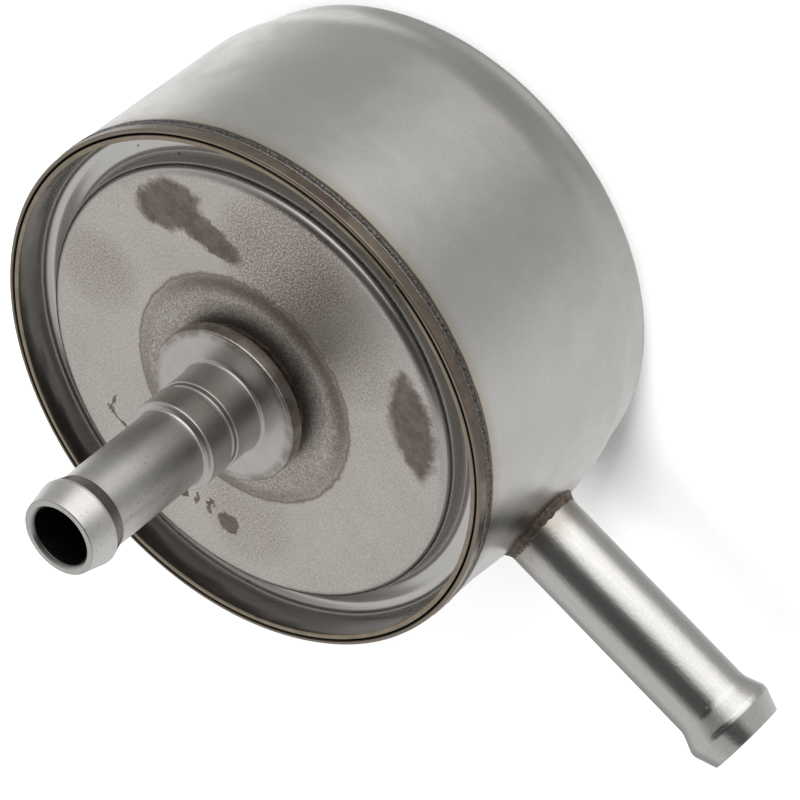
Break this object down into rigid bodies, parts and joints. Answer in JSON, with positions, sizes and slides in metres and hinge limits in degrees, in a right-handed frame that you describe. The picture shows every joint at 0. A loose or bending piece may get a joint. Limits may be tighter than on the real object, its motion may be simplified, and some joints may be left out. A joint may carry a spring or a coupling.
{
  "type": "fuel filter",
  "caption": "Round steel in-line fuel filter: welded can with a dished cover, a barbed centre spigot, a beaded side pipe and a sprung pleated element inside.",
  "frame": {"origin": "centre of the can's flat back face", "axes": "+Z along the can's axis towards the centre spigot, +X along the side pipe"},
  "size_m": [0.0838, 0.0552, 0.0553],
  "materials": {
    "can_steel": "satin drawn stainless steel, straw heat tint near the seam weld",
    "cover_steel": "matt stamped stainless steel, speckled, with brown heat stains",
    "seam_weld": "dark rough resistance seam weld with brown oxide edges",
    "turned_steel": "turned stainless steel with fine lathe lines",
    "pipe_steel": "polished drawn stainless steel tube",
    "brown_weld": "brown oxidised fillet weld",
    "spring_steel": "plain spring steel",
    "cap_steel": "tin plated steel sheet",
    "potting": "cured amber sealant",
    "filter_paper": "resin impregnated pleated paper",
    "seal_rubber": "black fluorocarbon rubber"
  },
  "bodies": {
    "housing": {"body_can": "can_steel", "end_cover": "cover_steel", "seam_weld": "seam_weld", "locating_tack": "seam_weld", "outlet_spigot": "turned_steel", "spigot_weld": "brown_weld", "inlet_pipe": "pipe_steel", "pipe_weld": "brown_weld", "spring_seat": "spring_steel"},
    "element": {"element_spring": "spring_steel", "lower_end_cap": "cap_steel", "lower_potting": "potting", "pleated_media": "filter_paper", "media_seam_clip": "cap_steel", "core_tube": "cap_steel", "upper_potting": "potting", "upper_end_cap": "cap_steel", "outlet_seal": "seal_rubber"}
  },
  "joints": [
    {"name": "element_float", "type": "slide", "parent": "housing", "child": "element", "axis": [0, 0, 1], "range_m": [-0.0008, 0], "stiffness_N_per_m": 3000, "springref_m": 0.002, "deforming": ["element_spring"]}
  ]
}
